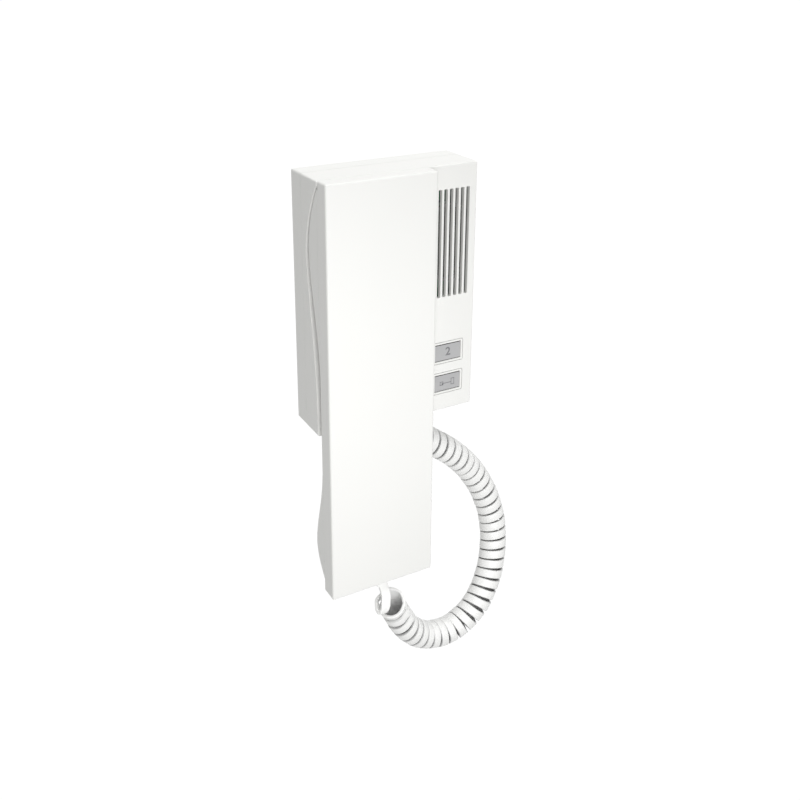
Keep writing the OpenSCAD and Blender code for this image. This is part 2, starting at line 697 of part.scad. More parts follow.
// Earpiece: one hole in the middle and two rings round it
module ear_holes() {
    round_y(hand_x, ear_z, 0, receiver_seat, 1);
    for (ring = [[4, 6], [8, 12]], i = [0:ring[1] - 1])
        round_y(hand_x + ring[0] * cos(360 * i / ring[1]), ear_z + ring[0] * sin(360 * i / ring[1]),
            0, receiver_seat, 1);
}
module handset_screws() color("silver") {
    for (p = handset_fix) {
        round_y(p[0], p[1], back_d + 0.1, back_d + 1, 2.4);
        round_y(p[0], p[1], back_d + 0.9, front_in_d - 0.6, hand_screw_r);
    }
}
module receiver_gasket() color("dimgray") {
    difference() {
        round_y(hand_x, ear_z, receiver_seat, receiver_d0, receiver_r - 0.6);
        round_y(hand_x, ear_z, 0, far, 11);
    }
}
module receiver_capsule() color("gray") {
    translate([hand_x, -receiver_d0, ear_z]) rotate([90, 0, 0]) rotate_extrude() polygon([
        [0, 0.6], [10, 0.6], [11, 0], [receiver_r, 0], [receiver_r, flange_d],
        [12, flange_d], [11.4, receiver_h], [0, receiver_h]]);
}
module microphone_boot() color("black") {
    difference() {
        round_y(hand_x, mouth_z, boot_d0, boot_d1, boot_r);
        round_y(hand_x, mouth_z, boot_d0 + 1, far, mic_r + 0.02);
        round_y(hand_x, mouth_z, 0, far, 3.2);
    }
}
module microphone_capsule() color("silver") {
    round_y(hand_x, mouth_z, boot_d0 + 1, boot_d1 - 0.4, mic_r);
}
handset_board_w = 28;
handset_board_h = 14;
module handset_board() color("seagreen") {
    z = mouth_z + mouth_soft + 1.5;
    slab(hand_x - handset_board_w / 2, hand_x + handset_board_w / 2, plate_in_d, plate_in_d + board_t,
        z, z + handset_board_h);
}

// Cord: a flat lead wound into a coil, with a straight tail at each end
grommet_w = 7.6;
grommet_t = 4.2;
flange_h = 1.5;
module grommet_hole(t) {
    translate([0, 0, -1]) linear_extrude(height = t + 2)
        rounded(grommet_w + 2 * fit_gap, grommet_t + 2 * fit_gap, 1.5);
}
module grommet(t) {
    linear_extrude(height = t + eps) rounded(grommet_w, grommet_t, 1.4);
    translate([0, 0, t]) linear_extrude(height = flange_h) rounded(grommet_w + 2, grommet_t + 1, 1.6);
    translate([0, 0, -flange_h]) linear_extrude(height = flange_h + eps)
        rounded(cord_w + 0.8, cord_t + 0.8, 1.1);
}
module base_cord_grommet() color("white") {
    translate([grommet_x, -grommet_d, -base_z]) grommet(wall_t);
}
module handset_cord_grommet() color("white") {
    translate([hand_x, -cord_d, hand_foot]) grommet(cover_t);
}
coil_route = [[-7.6, -10.1, -76.2], [6.4, -13.6, -78.2], [17.2, -14.4, -82.8], [27.5, -14.4, -89.6],
    [41.2, -14.1, -100.7], [52.8, -13.5, -113.7], [61.1, -15.8, -128.9], [64.9, -19.3, -145.5],
    [63.3, -23.7, -161.6], [57.3, -28.1, -176.7], [46, -32, -189.5], [30.4, -33.2, -197.2],
    [14.8, -33.6, -195.3], [2.4, -34.8, -185.1], [-6.4, -35, -169.4], [-8.75, -35.3, -163.45]];
coil_first = [7, -2.5, -0.8];
coil_last = [-3.9, -2, 9];
coil_n = len(coil_route) - 1;
// A point on the coil's end face, at radius r from its middle towards v
function on_end(centre, n, v, r) = let (u = unit(n)) centre + r * unit(v - u * (v * u));
base_tail = [[grommet_x, -grommet_d, -base_z - flange_h], [-8.4, -14.8, -68.4], [-10.2, -15.2, -70.2],
    [-12.2, -14.6, -73.2], [-11.8, -14.2, -76],
    on_end(coil_route[0], coil_first, [0, -1, 0], coil_r - cord_w / 2)];
handset_tail = [[hand_x, -cord_d, hand_foot - flange_h], [-13.4, -32.4, -156], [-13.7, -34.4, -159.5],
    [-14.1, -36.8, -163.2], on_end(coil_route[coil_n], coil_last, [-1, -0.3, 0], coil_r - cord_w / 2)];
module coiled_cord() color("white") {
    sweep(curve(coil_route, 3), round_section(coil_r, 12), [0, 1, 0], coil_first, coil_last);
}
function flat_section(w, t) = [for (i = [0:7]) let (a = 22.5 + 45 * i)
    [w / 2 * cos(a) / cos(22.5), t / 2 * sin(a) / sin(67.5)]];
module cord_tail_base() color("white") {
    sweep(base_tail, flat_section(cord_w, cord_t), [1, 0, 0], [0, 0, -1], coil_first, [0, -1, 0]);
}
module cord_tail_handset() color("white") {
    sweep(handset_tail, flat_section(cord_w, cord_t), [1, 0, 0], [0, 0, -1], -coil_last);
}

wall_plate();
base_housing();
housing_screw();
circuit_board();
board_screws();
board_capacitors();
control_chip();
terminal_block();
terminal_screws();
speaker_gasket();
speaker_frame();
speaker_cone();
speaker_magnet();
tact_switches();
hook_switch();
hook_lever_pin();
hook_spring();
base_cord_grommet();
cord_tail_base();
coiled_cord();
hook_lever();
upper_key();
upper_key_label();
upper_key_plunger();
door_key();
door_key_label();
door_key_plunger();
handset_cover();
handset_back();
handset_screws();
receiver_gasket();
receiver_capsule();
microphone_boot();
microphone_capsule();
handset_board();
handset_cord_grommet();
cord_tail_handset();
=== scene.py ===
# Slim wall phone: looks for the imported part, in the part's own frame.
# The sizes of pieces are in millimetres, times mm. The camera, the lamps and the floor are in metres.
import math

import bmesh
import bpy
import numpy as np
from mathutils import Matrix, Vector


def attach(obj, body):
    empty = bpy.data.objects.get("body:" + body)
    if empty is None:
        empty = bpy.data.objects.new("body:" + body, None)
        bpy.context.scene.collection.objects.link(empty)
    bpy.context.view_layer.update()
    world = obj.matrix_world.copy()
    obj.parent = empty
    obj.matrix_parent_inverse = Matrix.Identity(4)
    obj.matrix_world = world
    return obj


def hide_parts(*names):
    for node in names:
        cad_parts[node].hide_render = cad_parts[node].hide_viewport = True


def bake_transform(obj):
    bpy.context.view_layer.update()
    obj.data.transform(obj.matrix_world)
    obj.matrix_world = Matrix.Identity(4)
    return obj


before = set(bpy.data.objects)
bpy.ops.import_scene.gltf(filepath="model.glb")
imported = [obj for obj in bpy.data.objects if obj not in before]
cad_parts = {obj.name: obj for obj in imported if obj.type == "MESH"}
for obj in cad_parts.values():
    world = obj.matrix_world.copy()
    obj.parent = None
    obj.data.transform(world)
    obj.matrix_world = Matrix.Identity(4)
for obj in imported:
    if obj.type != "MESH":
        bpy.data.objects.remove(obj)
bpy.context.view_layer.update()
scene = bpy.context.scene
mm = 0.001


def placed(name, data):                        # a new object in the scene
    made = bpy.data.objects.new(name, data)
    scene.collection.objects.link(made)
    return made


# camera
camera = {"place": (-0.21264, -0.40713, 0.16761), "forward": (0.4475, 0.8346, -0.3213),
          "lens": 43.73, "sensor": 36.0, "shift": (0.0215, -0.1732), "near": 0.01, "far": 200.0}
eye = bpy.data.cameras.new("camera")
eye.lens, eye.sensor_width = camera["lens"], camera["sensor"]
eye.shift_x, eye.shift_y = camera["shift"]
eye.clip_start, eye.clip_end = camera["near"], camera["far"]
ahead = Vector(camera["forward"]).normalized()
across = ahead.cross(Vector((0, 0, 1))).normalized()
eyeObject = placed("camera", eye)
eyeObject.matrix_world = Matrix.Translation(camera["place"]) @ Matrix(
    (across, across.cross(ahead), -ahead)).transposed().to_4x4()
scene.camera = eyeObject
print("camera set")


# node trees
class Wire:                                    # a socket that Python can do sums with
    def __init__(self, maker, socket):
        self.maker, self.socket = maker, socket

    def sums(self, operation, first, second):
        return self.maker.node("ShaderNodeMath", {"operation": operation}, {0: first, 1: second})

    def larger(self, other):
        return self.sums("MAXIMUM", self, other)

    def __add__(self, other):
        return self.sums("ADD", self, other)

    def __sub__(self, other):
        return self.sums("SUBTRACT", self, other)

    def __rsub__(self, other):
        return self.sums("SUBTRACT", other, self)

    def __mul__(self, other):
        return self.sums("MULTIPLY", self, other)

    def __gt__(self, other):
        return self.sums("GREATER_THAN", self, other)

    __radd__ = __add__
    __rmul__ = __mul__


class Maker:                                   # adds nodes to one tree
    def __init__(self, tree):
        self.tree = tree

    def node(self, kind, settings=None, sockets=None, out=0):
        made = self.tree.nodes.new(kind)
        for name, value in (settings or {}).items():
            setattr(made, name, value)
        for name, value in (sockets or {}).items():
            plug = made.inputs[name]
            if isinstance(value, Wire):
                self.tree.links.new(value.socket, plug)
            elif plug.type == "RGBA" and len(value) == 3:
                plug.default_value = (*value, 1)
            else:
                plug.default_value = value
        return Wire(self, made.outputs[out]) if len(made.outputs) else made

    def noise(self, place, scale, detail=2.0, roughness=0.5):
        return self.node("ShaderNodeTexNoise", {}, {
            "Vector": place, "Scale": scale, "Detail": detail, "Roughness": roughness}, "Fac")

    def stretched(self, place, scale):
        return self.node("ShaderNodeMapping", {}, {"Vector": place, "Scale": scale})

    def tint(self, amount, first, second):
        return self.node("ShaderNodeMix", {"data_type": "RGBA"}, {0: amount, 6: first, 7: second}, 2)

    def relief(self, height, distance, strength):
        return self.node("ShaderNodeBump", {}, {"Height": height, "Distance": distance,
                                                "Strength": strength}, "Normal")


def emptied(holder):                           # the cleared tree of a material or a world
    holder.use_nodes = True
    holder.node_tree.nodes.clear()
    return Maker(holder.node_tree)


def finish(name, build):
    material = bpy.data.materials.new(name)
    maker = emptied(material)
    place = maker.node("ShaderNodeTexCoord", {}, {}, "Object")
    skin = maker.node("ShaderNodeBsdfPrincipled", {}, build(maker, place))
    maker.node("ShaderNodeOutputMaterial", {}, {"Surface": skin})
    return material


# In the finishes a noise's number counts its features in a metre, a share is one noise's part of a
# mixture, a gloss is how far a noise moves the roughness, and a depth is in millimetres.
plastic = {"patches": 24.0, "patchShare": 0.7, "patchGloss": 0.06, "grainGloss": 0.08,
           "patchRelief": 0.3, "grainRoughness": 0.6, "strength": 0.5}


def mouldedPlastic(colour, rough=0.42, grain=2600.0, depth=0.02, vary=0.012):
    c = plastic

    def build(maker, place):
        broad = maker.noise(place, c["patches"])
        fine = maker.noise(place, grain, roughness=c["grainRoughness"])
        light = tuple(min(1, v + vary) for v in colour)
        dark = tuple(max(0, v - vary) for v in colour)
        middle = (c["patchGloss"] + c["grainGloss"]) / 2
        return {
            "Base Color": maker.tint(broad * c["patchShare"] + fine * (1 - c["patchShare"]), dark, light),
            "Roughness": broad * c["patchGloss"] + fine * c["grainGloss"] + (rough - middle),
            "Normal": maker.relief(fine + broad * c["patchRelief"], depth * mm, c["strength"])}
    return build


# the inside colour is painted shade for the coil's inner face and its gaps, where little light reaches
jacket = {"pale": (0.90, 0.90, 0.89), "bright": (0.94, 0.94, 0.935), "inside": (0.55, 0.55, 0.55),
          "flow": 160.0, "grain": 1900.0, "flowShare": 0.6, "rough": 0.3, "flowGloss": 0.1,
          "depth": 0.03, "strength": 0.5}


def sheath(maker, place):                      # smooth extruded cord jacket, with painted shade inside the coil and in its gaps
    c = jacket
    flow = maker.noise(place, c["flow"], 3.0)
    fine = maker.noise(place, c["grain"])
    paintedShade = maker.node("ShaderNodeAttribute", {"attribute_name": "paintedShade"}, {}, "Fac")
    mixed = flow * c["flowShare"] + fine * (1 - c["flowShare"])
    return {
        "Base Color": maker.tint(paintedShade, maker.tint(flow, c["pale"], c["bright"]), c["inside"]),
        "Roughness": flow * c["flowGloss"] + c["rough"],
        "Normal": maker.relief(mixed, c["depth"] * mm, c["strength"])}


brushed = {"brush": (1, 1, 9), "stains": 130.0, "stainDark": 0.82, "streakRoughness": 0.6,
           "streakGloss": 0.14, "stainGloss": 0.1, "depth": 0.012, "strength": 0.4}


def metal(colour, rough, scale=900.0):
    c = brushed

    def build(maker, place):
        streak = maker.noise(maker.stretched(place, c["brush"]), scale, 3.0, c["streakRoughness"])
        stain = maker.noise(place, c["stains"], 3.0)
        return {
            "Base Color": maker.tint(stain, tuple(c["stainDark"] * v for v in colour), colour),
            "Metallic": 1.0,
            "Roughness": streak * c["streakGloss"] + stain * c["stainGloss"] + (rough - c["stainGloss"]),
            "Normal": maker.relief(streak, c["depth"] * mm, c["strength"])}
    return build


mask = {"cells": 260.0, "random": 0.55, "trackFrom": 0.42, "grain": 700.0, "trackShare": 0.8,
        "dark": (0.02, 0.17, 0.075), "light": (0.045, 0.27, 0.12), "rough": 0.25, "grainGloss": 0.1,
        "coat": 0.3, "trackCoat": 0.3, "depth": 0.04, "strength": 0.6}


def lacquer(maker, place):                     # green solder mask over copper tracks
    c = mask
    cells = maker.node("ShaderNodeTexVoronoi", {"distance": "CHEBYCHEV", "feature": "F1"},
                       {"Vector": place, "Scale": c["cells"], "Randomness": c["random"]}, "Distance")
    tracks = cells > c["trackFrom"]
    grain = maker.noise(place, c["grain"])
    mixed = tracks * c["trackShare"] + grain * (1 - c["trackShare"])
    return {
        "Base Color": maker.tint(mixed, c["dark"], c["light"]),
        "Roughness": grain * c["grainGloss"] + c["rough"],
        "Coat Weight": tracks * c["trackCoat"] + c["coat"],
        "Normal": maker.relief(tracks, c["depth"] * mm, c["strength"])}


foam = {"pores": 1500.0, "clouds": 220.0, "poreShare": 0.7, "dark": (0.03, 0.03, 0.03),
        "light": (0.13, 0.13, 0.13), "rough": 0.9, "depth": 0.25, "strength": 0.8}


def foamRubber(maker, place):
    c = foam
    pores = maker.node("ShaderNodeTexVoronoi", {"feature": "F1"}, {"Vector": place, "Scale": c["pores"]},
                       "Distance")
    mixed = pores * c["poreShare"] + maker.noise(place, c["clouds"], 3.0) * (1 - c["poreShare"])
    return {
        "Base Color": maker.tint(mixed, c["dark"], c["light"]),
        "Roughness": c["rough"],
        "Normal": maker.relief(pores, c["depth"] * mm, c["strength"])}


paper = {"lay": (1, 6, 1), "fibres": 900.0, "fibreRoughness": 0.65, "dark": (0.03, 0.03, 0.03),
         "light": (0.1, 0.1, 0.1), "rough": 0.7, "fibreGloss": 0.2, "depth": 0.1, "strength": 0.7}


def conePaper(maker, place):
    c = paper
    fibre = maker.noise(maker.stretched(place, c["lay"]), c["fibres"], 4.0, c["fibreRoughness"])
    return {
        "Base Color": maker.tint(fibre, c["dark"], c["light"]),
        "Roughness": fibre * c["fibreGloss"] + c["rough"],
        "Normal": maker.relief(fibre, c["depth"] * mm, c["strength"])}


finishes = {
    "casing": finish("casing white", mouldedPlastic((0.87, 0.87, 0.853))),
    # casing edge: lighter and glossier than the casing, a painted highlight for the bevelled rim
    "casingEdge": finish("casing painted highlight", mouldedPlastic((0.975, 0.975, 0.955), rough=0.3)),
    "keycap": finish("key white", mouldedPlastic((0.87, 0.87, 0.85), rough=0.34, grain=3400.0, depth=0.012)),
    "lever": finish("lever white", mouldedPlastic((0.82, 0.82, 0.80), rough=0.4)),
    "label": finish("label grey", mouldedPlastic(
        (0.455, 0.455, 0.463), rough=0.3, grain=3800.0, depth=0.008, vary=0.01)),
    "legend": finish("legend grey", mouldedPlastic(
        (0.21, 0.21, 0.22), rough=0.35, grain=3800.0, depth=0.006, vary=0.01)),
    # near-black painted shadow strips along the labels' edges
    "paintedShadow": finish("label painted shadow", mouldedPlastic(
        (0.03, 0.03, 0.032), rough=0.6, grain=3800.0, depth=0.006, vary=0.01)),
    "cord": finish("cord white", sheath),
    "dark": finish("dark plastic", mouldedPlastic(
        (0.04, 0.04, 0.045), rough=0.45, grain=2200.0, depth=0.03, vary=0.008)),
    "capsule": finish("capsule grey", mouldedPlastic(
        (0.12, 0.12, 0.13), rough=0.4, grain=2200.0, depth=0.03)),
    "sleeve": finish("capacitor sleeve", mouldedPlastic(
        (0.03, 0.04, 0.10), rough=0.3, grain=2200.0, depth=0.01, vary=0.008)),
    "board": finish("board green", lacquer),
    "terminal": finish("terminal green", mouldedPlastic(
        (0.10, 0.40, 0.20), rough=0.4, grain=2200.0, vary=0.02)),
    "cone": finish("cone paper", conePaper),
    "foam": finish("foam", foamRubber),
    "pressed": finish("pressed steel", metal((0.60, 0.60, 0.62), rough=0.38)),
    "zinc": finish("zinc plate", metal((0.66, 0.66, 0.68), rough=0.32)),
    "solder": finish("solder", metal((0.70, 0.70, 0.70), rough=0.3, scale=1500.0)),
}
wears = {
    "casing": ["wall_plate", "base_housing", "handset_cover", "handset_back"],
    "keycap": ["upper_key", "door_key"],
    "lever": ["hook_lever"],
    "label": ["upper_key_label", "door_key_label"],
    "cord": ["base_cord_grommet", "handset_cord_grommet", "cord_tail_base", "coiled_cord",
             "cord_tail_handset"],
    "dark": ["control_chip", "tact_switches", "hook_switch", "upper_key_plunger", "door_key_plunger",
             "microphone_boot"],
    "capsule": ["receiver_capsule"],
    "sleeve": ["board_capacitors"],
    "board": ["circuit_board", "handset_board"],
    "terminal": ["terminal_block"],
    "cone": ["speaker_cone"],
    "foam": ["speaker_gasket", "receiver_gasket"],
    "pressed": ["speaker_frame", "speaker_magnet", "microphone_capsule"],
    "zinc": ["housing_screw", "board_screws", "terminal_screws", "hook_lever_pin", "hook_spring",
             "handset_screws"],
}
for look, nodes in wears.items():
    for node in nodes:
        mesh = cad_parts[node].data
        if not mesh.materials:
            mesh.materials.append(finishes[look])
        for i in range(len(mesh.materials)):
            mesh.materials[i] = finishes[look]
print("finishes on", sum(len(n) for n in wears.values()), "parts")


def piece(name, mesh, look, body=None, smooth=True):     # smooth None keeps the mesh's own shading
    made = placed(name, mesh)
    if not mesh.materials:
        mesh.materials.append(finishes[look])
    if smooth is not None:
        mesh.shade_smooth() if smooth else mesh.shade_flat()
    if body:
        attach(made, body)
    return made


def plainMesh(holder):                         # what the object's modifiers make of it, as a plain mesh
    graph = bpy.context.evaluated_depsgraph_get()
    made = bpy.data.meshes.new_from_object(holder.evaluated_get(graph), depsgraph=graph)
    bpy.data.objects.remove(holder)
    return made


def geometryTree(name, inputs):
    tree = bpy.data.node_groups.new(name, "GeometryNodeTree")
    tree.interface.new_socket("Geometry", in_out="INPUT", socket_type="NodeSocketGeometry")
    for label, kind in inputs:
        tree.interface.new_socket(label, in_out="INPUT", socket_type="NodeSocket" + kind)
    tree.interface.new_socket("Geometry", in_out="OUTPUT", socket_type="NodeSocketGeometry")
    maker = Maker(tree)
    start = tree.nodes.new("NodeGroupInput")
    return maker, {s.name: Wire(maker, s) for s in start.outputs if s.name}


def closeTree(maker, shape, material):         # every tree ends in plain geometry with its finish set
    shape = maker.node("GeometryNodeRealizeInstances", {}, {"Geometry": shape})
    shape = maker.node("GeometryNodeSetMaterial", {}, {"Geometry": shape, "Material": material})
    maker.node("NodeGroupOutput", {}, {0: shape})
    return maker.tree


def grown(name, mesh, tree, values):           # runs a geometry tree on a mesh
    holder = placed(name, mesh)
    modifier = holder.modifiers.new("tree", "NODES")
    modifier.node_group = tree
    for item in tree.interface.items_tree:
        if item.item_type == "SOCKET" and item.in_out == "INPUT" and item.name in values:
            modifier[item.identifier] = values[item.name]
    return plainMesh(holder)


# base housing, with the rim beside the handset bevelled and painted lighter as a highlight
rounding = {"rim": 1.5, "steps": 1, "sharp": 30.0, "flat": 1.0, "join": 0.001,
            "low": (-42.6, -25.7, -62), "high": (-42.4, -14, 59)}


def inBox(edge, low, high):                    # both ends of the edge lie in the box
    return all(low[k] <= v.co[k] / mm <= high[k] for v in edge.verts for k in range(3))


def softened(node, look, c):                   # a copy of a part with its sharp edges in a box bevelled, and the bevels given a lighter painted-highlight finish
    shape = bmesh.new()
    shape.from_mesh(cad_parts[node].data)
    bmesh.ops.remove_doubles(shape, verts=shape.verts, dist=c["join"] * mm)
    bmesh.ops.dissolve_limit(shape, angle_limit=math.radians(c["flat"]), verts=shape.verts,
                             edges=shape.edges)
    edges = [e for e in shape.edges if len(e.link_faces) == 2 and inBox(e, c["low"], c["high"])
             and math.degrees(e.calc_face_angle_signed()) > c["sharp"]]
    made = bmesh.ops.bevel(shape, geom=edges, offset=c["rim"] * mm, segments=c["steps"], profile=0.5,
                           affect="EDGES", clamp_overlap=True)
    for face in made["faces"]:
        face.material_index = 1                # the bevels' painted highlight
    mesh = bpy.data.meshes.new(node + "Soft")
    for name in (look, look + "Edge"):
        mesh.materials.append(finishes[name])
    shape.to_mesh(mesh)
    shape.free()
    mesh.attributes.remove(mesh.attributes["custom_normal"])
    mesh.shade_smooth()
    mesh.set_sharp_from_angle(angle=math.radians(c["sharp"]))
    holder = placed(node + "Soft", mesh)
    even = holder.modifiers.new("even", "WEIGHTED_NORMAL")
    even.keep_sharp = True
    return plainMesh(holder)


housingSoft = piece("housingSoft", softened("base_housing", "casing", rounding), "casing", "base", None)
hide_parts("base_housing")
print("housing softened")


# cord: a flat lead wound into a coil, drawn as one ribbon from grommet to grommet
cord = {
    "width": 4.35, "thick": 1.6, "corner": 0.4, "radius": 7.3, "perTurn": 30,
    # turn number and place of the coil's middle
    "route": [[0, -7.6, -10.1, -76.2], [2.5, 6.4, -13.6, -78.2], [4.5, 17.2, -14.4, -82.8],
              [6.5, 27.5, -14.4, -89.6], [9.5, 41.2, -14.1, -100.7], [12.5, 52.8, -13.5, -113.7],
              [15.5, 61.1, -15.8, -128.9], [18.5, 64.9, -19.3, -145.5], [21.5, 63.3, -23.7, -161.6],
              [24.5, 57.3, -28.1, -176.7], [27.5, 46, -32, -189.5], [30.5, 30.4, -33.2, -197.2],
              [33.5, 14.8, -33.6, -195.3], [36.5, 2.4, -34.8, -185.1], [39.5, -6.4, -35, -169.4],
              [40.55, -8.75, -35.3, -163.45]],
    "routeSteps": 900,
    # the ways that the coil's two ends point, and the steps over which it turns to them
    "first": [7, -2.5, -0.8], "firstSteps": 40, "last": [-4.31, -5.91, 6.82], "lastSteps": 46,
    # hand-wound unevenness: each wave's height, its count along the coil and its start, then a ripple of
    # the radius; the first and the last part in calmParts stay even
    "waves": ((0.35, 7.3, 0.1), (0.3, 12.1, 0.45), (0.25, 19.7, 0.8)), "wobble": 0.05,
    "ripple": 0.012, "rippleSpan": 97, "calmParts": 30,
    # the ribbon is wider where the turns fan apart: behind the mouth, outside bends and on the far side
    "mouthFill": 4.5, "mouthTurns": 3, "mouthPast": 0.15, "mouthRound": 0.6, "leanFull": 1.5,
    "outerFill": 6.0, "bendMost": 0.03, "bendSteps": 45,
    "backFill": [[18.5, 0], [22, 2.0], [25, 3.2], [30, 2.6]],      # turn number and extra width
    # and a share wider off the coil and over exitReach at the grommets
    "endWiden": 0.14, "exitWiden": 0.19, "exitReach": 3.0,
    # painted shade on the ribbon's edges in the coil's gaps, by turn number, and how that shade ends near the
    # mouth
    "edgeShade": [[22, 0.3], [25, 0.75]], "edgeShare": 0.6, "brightTurns": 0.8, "mouthLit": 0.7,
    "shadeFrom": 0.6, "shadeGrowth": 2.5,
    # the lead from the base's grommet to the coil
    "lead": [[-8, -14.6, -65], [-8, -14.65, -67.5], [-7.95, -14.9, -70]], "leadSteps": 60,
    # the strap from the coil's mouth: left side, down, round and up, measured square to the mouth
    "strap": [[-7.0, -0.5, 0.2], [-6.4, -3.2, 0.9], [-5.0, -5.6, 2.0], [-3.2, -6.4, 3.2], [-2.0, -4.6, 4.4],
              [-1.8, -1.4, 5.2], [-2.1, 2.2, 5.7], [-3.1, 4.8, 6.0], [-4.2, 7.2, 6.5]],
    "strapWide": [[0, 0, 1], [-0.1, -0.05, 1], [-0.35, -0.2, 0.85], [-0.6, -0.3, 0.7], [-0.75, -0.35, 0.5],
                  [-0.81, -0.4, 0.43], [-0.81, -0.4, 0.43], [-0.81, -0.4, 0.43], [-0.81, -0.4, 0.43]],
    "handsetExit": [-13.35, -31.5, -152], "strapSteps": 220,
    "joinPasses": 6, "joinSteps": 6, "joinPull": 0.25, "coilEase": 10,
}


def unit(v):
    v = np.asarray(v, float)
    return v / np.linalg.norm(v)


def unitRows(rows):                            # a row of no length stays as it is
    return rows / np.maximum(np.linalg.norm(rows, axis=1), 1e-6)[:, None]


def readOff(at, known, rows):                  # rows read off at other steps along them
    rows = np.asarray(rows, float)
    return np.column_stack([np.interp(at, known, rows[:, k]) for k in range(3)])


def nearest(line, point):
    return int(np.argmin(np.linalg.norm(line - point, axis=1)))


def runAlong(line):                            # each point's distance along the line
    return np.concatenate([[0], np.cumsum(np.linalg.norm(np.diff(line, axis=0), axis=1))])


def smoothLine(points, count, between=40):     # a centripetal spline, evenly spaced, and its points' runs
    points = np.asarray(points, float)
    points = np.vstack([2 * points[0] - points[1], points, 2 * points[-1] - points[-2]])
    made = []
    for a, b, c, d in zip(points, points[1:], points[2:], points[3:]):
        t = np.cumsum([0] + [max(1e-6, np.linalg.norm(q - p)) ** 0.5 for p, q in ((a, b), (b, c), (c, d))])
        for u in np.linspace(t[1], t[2], between, endpoint=False):
            ab = a + (b - a) * (u - t[0]) / (t[1] - t[0])
            bc = b + (c - b) * (u - t[1]) / (t[2] - t[1])
            cd = c + (d - c) * (u - t[2]) / (t[3] - t[2])
            abc = ab + (bc - ab) * (u - t[0]) / (t[2] - t[0])
            bcd = bc + (cd - bc) * (u - t[1]) / (t[3] - t[1])
            made.append(abc + (bcd - abc) * (u - t[1]) / (t[2] - t[1]))
    made = np.array(made + [points[-2]])
    run = runAlong(made)
    return readOff(np.linspace(0, run[-1], count), run, made), run[::between]


def coilLines(c):                              # the coil's middle line, its directions and its bend
    rows = np.array(c["route"], float)
    centre, knots = smoothLine(rows[:, 1:], c["routeSteps"])
    heading = unitRows(np.gradient(centre, axis=0))
    for start, stride, way, reach in ((0, 1, c["first"], c["firstSteps"]),
                                      (-1, -1, c["last"], c["lastSteps"])):
        for i in range(reach):                 # the coil's ends square to their own directions
            k = start + stride * i
            heading[k] = unit(heading[k] * i / reach + unit(way) * (1 - i / reach))
    toCamera = -np.array(camera["forward"])    # turns are counted on the side that faces the camera
    front = unitRows(toCamera - heading * (heading @ toCamera)[:, None])
    bend = np.gradient(heading, axis=0) * len(centre) / knots[-1]      # how fast the heading turns
    blur = np.ones(c["bendSteps"]) / c["bendSteps"]
    bend = np.column_stack([np.convolve(bend[:, k], blur, "same") for k in range(3)])
    lines = {"middle": centre, "ahead": heading, "front": front, "up": np.cross(heading, front), "bend": bend}
    at = np.linspace(0, len(centre) - 1, int(rows[-1, 0] * c["perTurn"]))
    coil = {name: readOff(at, range(len(centre)), line) for name, line in lines.items()}
    coil["share"] = at / (len(centre) - 1)
    coil["turn"] = np.interp(coil["share"] * knots[-1], knots, rows[:, 0])
    print("coil middle", round(knots[-1], 1), "mm")
    return coil


def mouthAxes(c):                              # to the right of the coil's mouth, up from it and out of it
    out = unit(c["last"])
    right = unit(np.cross(out, [0, 0, 1]))
    right = -right if right[0] < 0 else right
    up = np.cross(out, right)
    return right, up if up[2] > 0 else -up, out


def coilTurns(c, mouthUp):                     # the ribbon on the coil: its line, wide way and fill
    coil = coilLines(c)
    turn, share, ahead = coil["turn"], coil["share"], coil["ahead"]
    radius = c["radius"] - c["thick"] / 2
    calm = np.clip(np.minimum(share, 1 - share) * c["calmParts"], 0, 1)
    wander = sum(a * np.sin(2 * math.pi * (f * share + p)) for a, f, p in c["waves"])
    angle = turn * 2 * math.pi + wander * calm * c["wobble"]
    out = coil["front"] * np.cos(angle)[:, None] + coil["up"] * np.sin(angle)[:, None]
    reach = radius * (1 + c["ripple"] * np.sin(share * c["rippleSpan"]) * calm)
    helix = coil["middle"] + out * reach[:, None]
    fan = (np.clip(out @ mouthUp + c["mouthPast"], 0, 1) ** c["mouthRound"]
           * np.clip(1 - (turn[-1] - turn) / c["mouthTurns"], 0, 1) ** 0.5 * c["mouthFill"])
    outer = np.clip(-np.sum(out * coil["bend"], axis=1), 0, c["bendMost"]) * radius * c["outerFill"]
    back = np.clip(-np.cos(angle), 0, 1) ** 0.5 * np.interp(turn, *np.transpose(c["backFill"]))
    # behind the mouth the ribbon also leans back to meet the turn before
    slope = unitRows(helix - readOff(turn - 1, turn, helix))
    lean = np.clip(fan / c["leanFull"], 0, 1)[:, None]
    leaned = unitRows(ahead * (1 - lean) + slope * lean)
    helix = helix + ahead * c["width"] / 2 - leaned * (c["width"] + fan[:, None]) / 2
    return helix, leaned, np.maximum(fan, np.maximum(back, outer))


def leadLine(c, helix, wide):                  # from the base's grommet to the coil
    lead, _ = smoothLine(c["lead"] + [helix[0], helix[2], helix[4]], c["leadSteps"])
    lead = lead[:nearest(lead, helix[0])]
    across = np.array([1.0, 0, 0])
    return lead, np.array([unit(across * (1 - s) + wide[0] * s) for s in np.linspace(0, 1, len(lead))])


def strapLine(c, helix, wide, axes):           # from the coil's mouth to the handset's grommet
    mouth = np.array(c["route"][-1][1:], float)
    strap = [mouth + sum(axis * v for axis, v in zip(axes, spot)) for spot in c["strap"]]
    strap.append(np.array(c["handsetExit"], float))
    ways = [sum(axis * v for axis, v in zip(axes, way)) for way in c["strapWide"]]
    line, _ = smoothLine([helix[-5], helix[-3], helix[-1]] + strap, c["strapSteps"])
    line = line[nearest(line, helix[-1]) + 2:]
    spots = [0] + [nearest(line, spot) for spot in strap[:-1]] + [len(line) - 1]
    return line, readOff(range(len(line)), spots, [wide[-1]] + ways + [[-1.0, 0, 0]])


